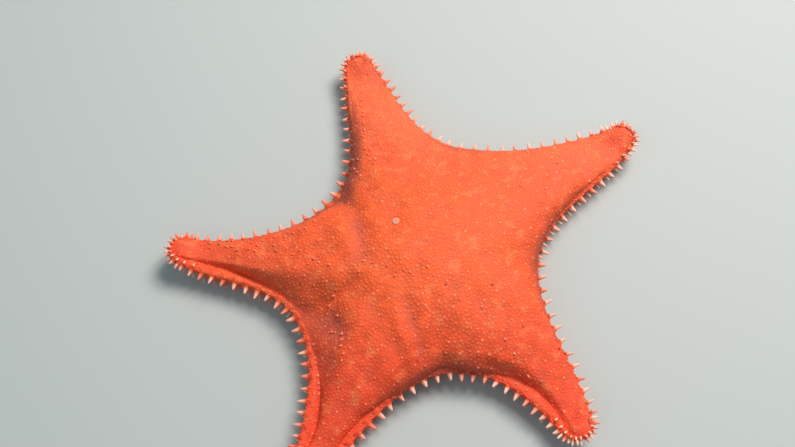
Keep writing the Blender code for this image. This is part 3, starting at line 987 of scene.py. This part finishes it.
def rim_places(half, share, row):
    """Where the spines of the upper, lower or crown row stand on the rim, and their headings."""
    foot, out, width = half.facing(share)
    s = share[:, None]
    rim = between(RIM_HEIGHT, OPEN_RIM_HEIGHT, half, s)
    seam, keel = along(SEAM_HEIGHT, s), along(KEEL_HEIGHT, s)
    ledge = between(LEDGE, OPEN_LEDGE, half, s)
    if row == "crown":
        across, height = width - RIM_INNER * ledge, rim
        rise = math.radians(CROWN_SPINE_RISE)
    elif row == "upper":
        across = width - UPPER_ROOT * RIM_OUTER * ledge - (1 - UPPER_ROOT) * SEAM_INSET
        height = seam + (rim - RIM_FALL - seam) * UPPER_ROOT
        rise = math.radians(UPPER_SPINE_RISE)
    else:
        across, height = width - (SEAM_INSET + KEEL_INSET) / 2, (seam + keel) / 2
        rise = math.radians(LOWER_SPINE_RISE)
    column = {"crown": 1.2, "upper": 1.45, "lower": 1.70}[row]
    u = (DOME_COLUMNS + RIM_RUNS * RIM_STEPS * (column - 1)) / (columns - 1)
    normal = [half.outward(share) * math.cos(rise), np.full(len(share), math.sin(rise))]
    place = foot + out * (across - COAT)
    return on_rib(half, share, place, height[:, 0], np.column_stack(normal), u, column)


def join_places(parts):
    return {key: np.concatenate([part[key] for part in parts]) for key in parts[0]}


plate_middles = (np.arange(PLATES) + 0.5) / PLATES
plate_ends = np.arange(PLATES - 3, PLATES) / PLATES
crowded = 1 - np.array([0.4, 1.2, 2.0, 2.8, 3.6, 4.5]) / PLATES


def whole_rim(share, row):
    """The places of a row round the whole star."""
    return join_places([rim_places(half, share, row) for half in halves])


upper_places, lower_places = (whole_rim(plate_middles, row) for row in ("upper", "lower"))
upper_tips, lower_tips = (whole_rim(plate_ends, row) for row in ("upper", "lower"))
crown_tips = whole_rim(crowded, "crown")

# %% Marginal spines
CONE = turned_shape(
    12,
    [(2.30, -0.25), (1.80, -0.05), (1.35, 0.08), (1.04, 0.20), (0.84, 0.34), (0.68, 0.52)]
    + [(0.55, 0.70), (0.44, 0.84), (0.31, 0.94), (0.15, 0.985), (0, 1.0)],
)
PEG = turned_shape(
    10,
    [(1.30, -0.22), (0.90, -0.04), (0.62, 0.08), (0.48, 0.22), (0.43, 0.45), (0.42, 0.70)]
    + [(0.38, 0.86), (0.28, 0.95), (0.13, 0.99), (0, 1.0)],
)
BUD = turned_shape(
    10,
    [(1.15, -0.30), (0.90, 0.0), (0.76, 0.25), (0.68, 0.50), (0.58, 0.74), (0.42, 0.91)]
    + [(0.22, 0.98), (0, 1.0)],
)


def grow_spines(name, shape, own, lengths, material, seed, size=1.0):
    """One row of spines round the whole margin, each with a slight lean of its own."""
    width = (0.88, 1.08, along(SPINE_RADIUS, own["share"]) * size)
    length = (0.82, 1.05, along(lengths, own["share"]) * size)
    sow(name, shape, own, width, length, material, seed, 0.08, 0.12)


grow_spines("upper_spines", CONE, upper_places, UPPER_SPINE, spine_flesh, 40)
grow_spines("lower_spines", PEG, lower_places, LOWER_SPINE, peg_flesh, 42)
grow_spines("upper_tip_spines", BUD, upper_tips, UPPER_SPINE, peg_flesh, 44, 0.9)
grow_spines("lower_tip_spines", PEG, lower_tips, LOWER_SPINE, peg_flesh, 46, 0.8)
length = (0.80, 1.05, CROWN_SPINE)
sow("crown_tip_spines", BUD, crown_tips, (0.80, 1.00, MM), length, peg_flesh, 47, 0.10, 0.10)

# %% Knobs on the plates
KNOB_ROWS = ((0.34, 0.0), (0.55, 0.5))  # how far round the rim to its seam, and along the plate
KNOB = turned_shape(
    8, [(1.25, -0.35), (1.05, 0.0), (0.85, 0.35), (0.60, 0.70), (0.30, 0.93), (0, 1.0)]
)


def rim_knobs(half, round_to_seam, along_plate):
    """Places on the upper plates, one to each, by the skin's own rows and columns."""
    row = ((np.arange(1, PLATES - 1) + along_plate) * ROWS_PER_PLATE).astype(int)
    column = DOME_COLUMNS + round(round_to_seam * SEAM_AT * RIM_RUNS * RIM_STEPS)
    return places_at(grid[half.number, row, column])


knob_places = join_places([rim_knobs(half, *row) for half in halves for row in KNOB_ROWS])
size = (1 - 0.3 * knob_places["reach"]) * MM
sow("rim_knobs", KNOB, knob_places, (0.75, 1.15, size), (0.5, 0.9, size), knob_flesh, 48, 0.15, 0.15)

# %% [markdown]
# ## Sieve plate
#
# The madreporite is a small chalky button through which the star takes in water. Winding
# grooves run over it from the middle and fork on the way. An image of grooves would look flat
# from the side, so the button is a round grid whose points are pressed in where a groove runs.

# %% Sieve plate
SIEVE_RINGS, SIEVE_SIDES = 26, 132
SIEVE_GROOVE = 0.00022
SIEVE_CROWN = 0.00075  # height of the button, and the dimple and the waves on it
SIEVE_DIMPLE = 0.00035
SIEVE_WAVE = 0.00012
SIEVE_FOOT = -0.0009
SIEVE_SET = 0.0002  # how far it stands out of the skin
CREAM = (0.92, 0.44, 0.27, 1)
GREYISH = (0.78, 0.40, 0.27, 1)
GROOVE_SHADE = (0.34, 0.085, 0.045, 1)

sieve_low, sieve_high = (np.array(corner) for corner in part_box("madreporite"))
SIEVE_RADIUS = (sieve_high - sieve_low)[:2].mean() / 2 - 0.0001
upper_side = np.flatnonzero(column_of[first] <= 1)


def nearest_on_back(place):
    """The skin's points on the back nearest to these places on the plan."""
    plan = skin_points[upper_side, :2]
    return upper_side[[np.argmin(((plan - p) ** 2).sum(1)) for p in np.atleast_2d(place)]]


seat = nearest_on_back((sieve_low + sieve_high)[:2] / 2)[0]
sieve_up = Vector(skin_normals[seat]).normalized()
t = np.linspace(0, 1, SIEVE_RINGS)[:, None]
angle = np.linspace(0, 2 * math.pi, SIEVE_SIDES, endpoint=False)[None]
bent = angle + 0.30 * np.sin(7 * t + 1) + 0.12 * np.sin(3 * angle + 9 * t)
few, many = np.cos(11 * bent), np.cos(22 * bent + 0.8 * np.sin(14 * t))
forked = few + (many - few) * smooth((t - 0.42) / 0.2)
groove = smooth(-forked * 1.2 + 0.1) * smooth(t * 6) * smooth((1 - t) * 7)
cap = SIEVE_CROWN * np.sqrt(np.maximum(0, 1 - t**3.2))
cap = cap - SIEVE_DIMPLE * np.exp(-((t / 0.35) ** 2)) + SIEVE_WAVE * np.sin(2 * angle + 1) * t
ring_height = cap - SIEVE_GROOVE * groove
ring_x = SIEVE_RADIUS * t * np.cos(angle) * (1 + 0.03 * np.sin(2 * angle))
ring_y = SIEVE_RADIUS * t * np.sin(angle) * (1 + 0.03 * np.sin(3 * angle))
top_points = np.stack([ring_x, ring_y, ring_height], -1).reshape(-1, 3)
skirt = np.stack([ring_x[-1], ring_y[-1], np.full(SIEVE_SIDES, SIEVE_FOOT)], -1)
sieve_points = np.concatenate([top_points, skirt, [[0, 0, SIEVE_FOOT]]])
index = np.arange((SIEVE_RINGS + 1) * SIEVE_SIDES).reshape(SIEVE_RINGS + 1, SIEVE_SIDES)
here, after = index, np.roll(index, -1, axis=1)
walls = np.stack([here[1:-1], here[2:], after[2:], after[1:-1]], -1).reshape(-1, 4)
centre_fan = np.stack([index[0] * 0, here[1], after[1]], -1)
under = np.stack([here[-1], index[-1] * 0 + len(sieve_points) - 1, after[-1]], -1)
spin = np.array(Vector((0, 0, 1)).rotation_difference(sieve_up).to_matrix())
stand = skin_points[seat] + np.array(sieve_up) * SIEVE_SET
sieve = new_mesh(
    "sieve_plate",
    sieve_points @ spin.T + stand,
    [centre_fan, walls, under],
    reach=np.concatenate([np.repeat(t[:, 0], SIEVE_SIDES), np.ones(SIEVE_SIDES), [1]]),
    height=np.concatenate([1 - groove.reshape(-1), np.ones(SIEVE_SIDES), [1]]),
)
chalk, wires, shader, fine = new_material("chalk of the sieve plate", 0.00012, 0.4, 0.00005)
inner, raised = attribute(wires, "reach"), attribute(wires, "height")
colour = wires.mix(wires.span(inner, 0.55, 0.15), CREAM, GREYISH)
# Painted shade in the grooves of the sieve plate.
colour = wires.mix(wires.span(raised, 0.7, 0.1, 0.0, 0.8), colour, GROOVE_SHADE)
colour = wires.mix(wires.span(inner, 0.86, 1.0, 0.0, 0.7), colour, RAY)
wires.set(shader["Base Color"], colour)
wires.set(shader["Roughness"], wires.span(fine, 0.0, 1.2, 0.75, 0.55))
sieve.data.materials.append(chalk)
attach(sieve, "root")
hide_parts("madreporite")
print("sieve plate, mm across:", round(2 * SIEVE_RADIUS / MM, 2))

# %% [markdown]
# ## Spinelets and gills
#
# Along the ridges of the rays stand short pale spinelets, and a few dark soft gills show
# between the plates. They could be scattered at random like the grains, but on the animal they
# keep to rows, so each row is a line on the plan and the spinelets stray a little to its sides.

# %% Spinelets and gills
# Points of a row in mm from the disc's centre, how many stand along it, how far they stray.
SPINELET_ROWS = (
    (((-34, 112), (-33, 95), (-31, 76), (-26, 57)), 20, 2.0),
    (((-41, 88), (-40, 74), (-37, 60), (-31, 47)), 12, 2.0),
    (((-125, 14), (-105, 10), (-67, 2.5), (-49, -8)), 28, 3.0),
    (((-112, 17), (-88, 12), (-66, 16), (-52, 24)), 16, 3.0),
    (((-49, -23), (-46, -42), (-40, -61), (-35, -53)), 16, 3.5),
    (((-58, -46), (-57, -62), (-60, -84), (-64, -104)), 18, 2.5),
    (((-30, -6), (-12, -14), (6, -8)), 8, 5.0),
    (((40, 30), (62, 42), (88, 58)), 4, 6.0),
    (((30, -30), (50, -52), (66, -70)), 4, 5.0),
)
SPINELET_GAP = 2.2 * MM
SCATTERED = 6.2 * MM
GILLS = 16
GILL_GAP = 8.0 * MM


def row_places(line, count, stray, rng):
    """Places near a line on the plan, at even steps along it."""
    line = np.array(line, float)
    steps = np.concatenate([[0], np.cumsum(np.linalg.norm(np.diff(line, axis=0), axis=1))])
    way = (np.arange(count) + rng.uniform(0.2, 0.8, count)) / count * steps[-1]
    place = np.stack([np.interp(way, steps, line[:, k]) for k in (0, 1)], -1)
    return CENTRE[:2] + (place + rng.normal(0, stray / 2, place.shape)) * MM


rng = np.random.default_rng(50)
rows_at = [row_places(line, count, stray, rng) for line, count, stray in SPINELET_ROWS]
ridge_places = places_at(nearest_on_back(np.concatenate(rows_at)))
sieve_taken = (skin_points[seat][None], SIEVE_RADIUS + 1.0 * MM)
ridge_places = keep_apart(ridge_places, SPINELET_GAP, sieve_taken)
BLUNT = turned_shape(
    8, [(1.25, -0.35), (0.95, 0.0), (0.80, 0.22), (0.66, 0.55), (0.52, 0.82), (0.28, 0.96), (0, 1)]
)
count = len(ridge_places["place"])
outward = ridge_places["place"] - CENTRE
outward = outward / np.linalg.norm(outward, axis=1, keepdims=True)
way = ridge_places["normal"] * rng.uniform(0.15, 0.8, (count, 1)) + outward * 0.8
way = way + rng.normal(0, 0.16, (count, 3))
width, length = rng.uniform(0.60, 0.88, count) * MM, rng.uniform(0.9, 1.5, count) * MM
plant("spinelets", BLUNT, ridge_places, way, width, length, spinelet_flesh, 51, 0.2)

scattered = keep_apart(
    draw_places(7000, (0.05, 0.97), 52),
    SCATTERED,
    (ridge_places["place"], 3.0 * MM),
    sieve_taken,
)
width, length = (0.95, 1.25, MM), (0.32, 0.48, MM)
sow("low_spinelets", BLUNT, scattered, width, length, knob_flesh, 53, bend=0.1)

gill_places = keep_apart(
    draw_places(900, (0.05, 0.93), 55),
    GILL_GAP,
    (ridge_places["place"], 1.6 * MM),
    (scattered["place"], 1.5 * MM),
    sieve_taken,
)
gill_places = pick(gill_places, np.arange(GILLS))
GILL_SHAPE = turned_shape(
    8, [(0.9, -0.4), (1.0, 0.1), (0.9, 0.5), (0.55, 0.85), (0.2, 0.98), (0, 1)]
)
sow("gills", GILL_SHAPE, gill_places, (0.38, 0.62, MM), (0.45, 0.75, MM), gill_flesh, 56)

# %% [markdown]
# ## Grains
#
# Every plate of the back carries grains: thousands of low domes, packed but never in rows, the
# biggest and palest in the middle of each plate. A bump map would do from afar, yet the outline
# would stay smooth, so these are real. Places are drawn at random on the skin and kept only
# where no other stands too near, which gives the even, unordered spread of the animal.

# %% Grains of the back and of the rim
PLATE_GAP = 3.7 * MM  # between the small plates under the skin of the back
PLATE_SPREAD = 1.0 * MM
GRAIN_GAP = (2.15 * MM, 1.7 * MM)  # at the disc's centre and at the tips
RIM_GRAIN_GAP = 1.6 * MM
DISC_GRAINS = 0.062  # how far out the grains are those of the disc
DOME = turned_shape(7, [(1.0, -0.5), (0.95, 0.25), (0.62, 0.8), (0, 1.0)])


def gap_at(reach):
    return GRAIN_GAP[0] + (GRAIN_GAP[1] - GRAIN_GAP[0]) * smooth(reach * 1.1)


plates_under = keep_apart(draw_places(24000, (0.0, 1.0), 10), PLATE_GAP)
tree = KDTree(len(plates_under["place"]))
for number, p in enumerate(plates_under["place"]):
    tree.insert(p, number)
tree.balance()

standing = (
    (ridge_places["place"], 1.3 * MM),
    (scattered["place"], 1.5 * MM),
    (gill_places["place"], 1.2 * MM),
    (upper_places["place"], 2.3 * MM),
    (upper_tips["place"], 1.5 * MM),
    (crown_tips["place"], 1.3 * MM),
    (knob_places["place"], 1.2 * MM),
    sieve_taken,
)
loose = draw_places(90000, (0.0, 1.3), 12)
grain_places = keep_apart(loose, gap_at(loose["reach"]), *standing)
far = np.array([tree.find(p)[2] for p in grain_places["place"]])
grain_places["shade"] = np.exp(-((far / PLATE_SPREAD) ** 2))
print(len(plates_under["place"]), "plates under", len(grain_places["place"]), "grains")

flat = np.linalg.norm(grain_places["place"][:, :2] - CENTRE[:2], axis=1)
axes = [CENTRE[:2] + bezier(halves[2 * k].axis, np.linspace(0, 1, 9)) for k in range(len(RAYS))]
plan = grain_places["place"][:, None, :2]
nearest = np.argmin([np.linalg.norm(plan - axis, axis=-1).min(1) for axis in axes], axis=0)
groups = {"disc": flat < DISC_GRAINS}
for k, name in enumerate(RAYS):
    groups[name] = (flat >= DISC_GRAINS) & (nearest == k)
for number, (name, members) in enumerate(groups.items()):
    own = pick(grain_places, np.flatnonzero(members))
    rng = np.random.default_rng(20 + number)
    count = len(own["place"])
    size = gap_at(own["reach"]) * rng.uniform(0.43, 0.53, count) * (0.88 + 0.24 * own["shade"])
    height = size * rng.uniform(0.17, 0.26, count) * (0.85 + 0.35 * own["shade"])
    plant(f"grains_of_{name}", DOME, own, own["normal"], size, height, grain_flesh, 30 + number)

rim_grains = keep_apart(
    draw_places(24000, (1.3, 2.0), 36),
    RIM_GRAIN_GAP,
    (grain_places["place"], 1.3 * MM),
    (upper_places["place"], 2.3 * MM),
    (upper_tips["place"], 1.6 * MM),
    (knob_places["place"], 1.2 * MM),
    (lower_places["place"], 1.5 * MM),
    (lower_tips["place"], 1.2 * MM),
)
rng = np.random.default_rng(37)
size = RIM_GRAIN_GAP * rng.uniform(0.36, 0.46, len(rim_grains["place"]))
plant("grains_of_rim", DOME, rim_grains, rim_grains["normal"], size, size * 0.6, grain_flesh, 38)

# %% [markdown]
# ## Underside
#
# The sole is paler and set with flat scales. Five furrows run in to the mouth. Spines stand
# along both edges of a furrow and lie across it, and behind them hang the tube feet, two rows
# of them, each with a sucker. A groove drawn in the material would save all of this, but the
# furrows are open in the skin, so their spines and feet are made too, at even steps along each
# ray's axis.

# %% Scales of the sole
SCALE_GAP = 2.3 * MM
SCALE = turned_shape(7, [(1.0, -0.4), (0.98, 0.3), (0.80, 0.75), (0.45, 0.95), (0, 1.0)])
scale_places = keep_apart(
    draw_places(26000, (2.02, 2.96), 60), SCALE_GAP, (rim_grains["place"], 1.3 * MM)
)
width, length = (0.36, 0.47, SCALE_GAP), (0.30, 0.42, MM)
sow("scales_of_sole", SCALE, scale_places, width, length, grain_flesh, 61)

# %% Along the furrows
FURROW_SPINE_STEP = 1.6 * MM
FURROW_SPINE = 0.0020
FOOT_STEP = 2.5 * MM
FOOT_RADIUS = 0.00085
FURROW_SPINE_HEIGHT = 0.0011
FOOT_HEIGHT = 0.0046
EDGE_CLEAR = 0.0003  # from a furrow's edge to its spines
FEET_APART = (0.42, 0.0014)  # from the axis to a foot: share of the edge's distance, and the most


def furrow_steps(half, step, first_at, last_at):
    """Shares of the plates, at even steps along the axis of the ray."""
    count = int((last_at - first_at) * half.reach / step)
    t = np.linspace(first_at, last_at, count)
    return (1 - (1 - t) ** (1 / FOOT_SPREAD)) * (PLATES - CAP_PLATES) / PLATES


def furrow_places(half, share, across, height):
    """Places beside a furrow's axis. across gives their distance along the ribs, and height
    theirs over the sole."""
    foot, way, _ = half.facing(share)
    u = (DOME_COLUMNS + RIM_RUNS * RIM_STEPS + SOLE_COLUMNS) / (columns - 1)
    normal = np.column_stack([-way, np.full(len(share), -0.12)])
    return on_rib(half, share, foot + way * across(half, share, way), height, normal, u, 3.0)


def at_edge(half, share, way):
    return furrow_edge(half, share, way) + EDGE_CLEAR


def beside_axis(half, share, way):
    return np.minimum(FEET_APART[0] * furrow_edge(half, share, way), FEET_APART[1])


def whole_furrows(step, ends, across, height):
    """Places along the furrows of all rays, between two shares of their axes."""
    parts = [furrow_places(h, furrow_steps(h, step, *ends), across, height) for h in halves]
    return join_places(parts)


edge_places = whole_furrows(FURROW_SPINE_STEP, (0.05, 0.93), at_edge, FURROW_SPINE_HEIGHT)
furrow_flesh = new_flesh("furrow spines", PEG_TIP, 0.9, 0.0003, top_span=(0.0, 0.7))
width, length = (0.85, 1.1, MM), (0.85, 1.1, FURROW_SPINE)
stray = (0.10, 0.10, 0.04)
sow("furrow_spines", PEG, edge_places, width, length, furrow_flesh, 63, stray, 0.1)

# %% Tube feet
SUCKER = turned_shape(
    10,
    [(0.75, -0.08), (0.62, 0.15), (0.52, 0.45), (0.52, 0.72), (0.66, 0.84), (0.98, 0.92)]
    + [(1.0, 0.975), (0.62, 0.985), (0.30, 0.95), (0, 0.93)],
)
FOOT_BODY = (0.88, 0.42, 0.24, 1)
foot_flesh = new_flesh("tube feet", FOOT_BODY, 0.85, 0.0003, top_span=(-0.2, 0.4))
foot_places = whole_furrows(FOOT_STEP, (0.07, 0.90), beside_axis, FOOT_HEIGHT)
down = np.array([[0.0, 0.0, -1.0]]).repeat(len(foot_places["place"]), axis=0)
width, length = (0.85, 1.1, FOOT_RADIUS), (3.4, 4.1, MM)
sow("tube_feet", SUCKER, foot_places, width, length, foot_flesh, 65, 0.10, 0.15, down)

# %% [markdown]
# ## Mouth
#
# Where two furrows meet, the sole ends in a jaw with its own fan of spines that point to the
# mouth. The mouth is a soft lip, puckered like a drawn purse. A plain ring would do for its
# size, but the puckers are what one sees, so the ring is a grid with folds across it.

# %% Jaws
JAW_SPINES = 7
JAW_FAN = 34.1  # degrees to each side
JAW_HALF_WIDTH = 0.0017
JAW_TAPER = 0.7
JAW_CLEAR = 0.0002
JAW_SPINE_HEIGHT = 0.0011
jaw_parts = []
for heading, *_ in NOTCHES:
    fan = np.linspace(-JAW_FAN, JAW_FAN, JAW_SPINES)
    spread = np.linspace(-JAW_HALF_WIDTH, JAW_HALF_WIDTH, JAW_SPINES)[:, None]
    out = JAW_REACH + JAW_CLEAR + np.abs(spread) * JAW_TAPER
    place = unit(heading) * out + turned(unit(heading), 90) * spread
    way = np.stack([turned(-unit(heading), -turn) for turn in fan])
    jaw_parts.append(
        {
            "place": np.column_stack([place, np.full(JAW_SPINES, JAW_SPINE_HEIGHT)]) + CENTRE,
            "normal": np.column_stack([way, np.full(JAW_SPINES, 0.05)]),
            "map": np.full((JAW_SPINES, 2), 0.5),
            "reach": np.full(JAW_SPINES, 0.03),
            "section": np.full(JAW_SPINES, 3.0),
            "hollow": np.zeros(JAW_SPINES),
            "rolled": np.zeros(JAW_SPINES),
        }
    )
jaw_places = join_places(jaw_parts)
sow("jaw_spines", PEG, jaw_places, (1.1, 1.3, MM), (2.7, 3.2, MM), furrow_flesh, 67, bend=0.1)

# %% Lip of the mouth
LIP_SIDES, LIP_ROUND = 120, 24
LIP_FOLDS = 17
lip_low, lip_high = (np.array(corner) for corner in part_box("mouth"))
lip_middle = (lip_low + lip_high) / 2
LIP_RADIUS, _, LIP_HALF = (lip_high - lip_low) / 2
LIP_RADIUS = LIP_RADIUS - LIP_HALF
angle = np.linspace(0, 2 * math.pi, LIP_SIDES, endpoint=False)[:, None]
turn = np.linspace(0, 2 * math.pi, LIP_ROUND, endpoint=False)[None]
pucker = np.cos(LIP_FOLDS * angle + 0.5 * np.sin(3 * angle))
thick = LIP_HALF * (1 - 0.20 * smooth(0.5 - 0.8 * pucker) * (1 - 0.45 * np.cos(turn)))
out = LIP_RADIUS + thick * np.cos(turn) * 1.15
lip_points = np.stack([out * np.cos(angle), out * np.sin(angle), thick * np.sin(turn)], -1)
index = np.arange(LIP_SIDES * LIP_ROUND).reshape(LIP_SIDES, LIP_ROUND)
ahead, round_on = np.roll(index, -1, axis=0), np.roll(index, -1, axis=1)
both = np.roll(ahead, -1, axis=1)
lip = new_mesh(
    "lip",
    lip_points.reshape(-1, 3) + lip_middle,
    [np.stack([index, ahead, both, round_on], -1).reshape(-1, 4)],
    height=np.broadcast_to(0.5 + 0.5 * pucker, index.shape).reshape(-1),
)
LIP_PALE = (0.80, 0.24, 0.13, 1)
LIP_CREASE_SHADE = (0.42, 0.055, 0.030, 1)
lip_flesh, wires, shader, fine = new_material("flesh of the lip", 0.0002, 0.3, 0.00006)
# Painted shade in the creases between the puckers.
colour = wires.mix(wires.span(attribute(wires, "height"), 0.15, 0.85), LIP_CREASE_SHADE, LIP_PALE)
wires.set(shader["Base Color"], colour)
wires.set(shader["Roughness"], wires.span(fine, 0.0, 1.2, 0.50, 0.32))
let_light_in(shader, 0.2, 0.0010)
lip.data.materials.append(lip_flesh)
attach(lip, "root")
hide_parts("mouth")
print("lip, mm across:", round(2 * (LIP_RADIUS + LIP_HALF) / MM, 2))

# %% [markdown]
# ## Camera, floor and light
#
# The star lies on a plain pale floor. The camera looks down from the front, close to overhead,
# through a normal lens. A big soft lamp stands high at the back right, so the rims and the
# spines at the front fall into shade, and a pale sky fills the rest.

# %% Camera
CAMERA_RISE = 66.0
CAMERA_FAR = 0.6625
AIM = (-0.0120, 0.0335)  # from the disc's centre

target = Vector((CENTRE[0] + AIM[0], CENTRE[1] + AIM[1], 0))
rise = math.radians(CAMERA_RISE)
camera = bpy.data.objects.new("camera", bpy.data.cameras.new("camera"))
camera.data.lens = 50
camera.data.sensor_width = 36
camera.data.clip_start = 0.01
camera.location = target + Vector((0, -math.cos(rise), math.sin(rise))) * CAMERA_FAR
camera.rotation_euler = (target - camera.location).to_track_quat("-Z", "Y").to_euler()
bpy.context.scene.collection.objects.link(camera)
bpy.context.scene.camera = camera


# %% Floor and lights
def add_lamp(name, place, size, watts, colour):
    """A square area lamp that faces the star."""
    lamp = bpy.data.objects.new(name, bpy.data.lights.new(name, "AREA"))
    lamp.data.size = size
    lamp.data.energy = watts
    lamp.data.color = colour
    lamp.location = place
    lamp.rotation_euler = (-Vector(place)).to_track_quat("-Z", "Y").to_euler()
    bpy.context.scene.collection.objects.link(lamp)


add_lamp("key", (0.44, 0.50, 1.04), 0.55, 18.8, (1.0, 0.97, 0.94))
add_lamp("fill", (-0.9, -0.7, 1.0), 1.2, 3.6, (0.42, 0.84, 1.0))
world = bpy.data.worlds.new("pale sky")
world.use_nodes = True
sky = world.node_tree.nodes["Background"].inputs
sky["Color"].default_value = (0.76, 0.93, 1.0, 1)
sky["Strength"].default_value = 0.30
bpy.context.scene.world = world
bpy.context.scene.view_settings.view_transform = "Standard"

bpy.ops.mesh.primitive_plane_add(size=4, location=(0, 0, 0))
floor = bpy.context.object
floor.name = floor.data.name = "floor"
pale = bpy.data.materials.new("pale floor")
pale.use_nodes = True
shader = pale.node_tree.nodes["Principled BSDF"].inputs
shader["Base Color"].default_value = (0.46, 0.47, 0.45, 1)
shader["Roughness"].default_value = 0.9
floor.data.materials.append(pale)
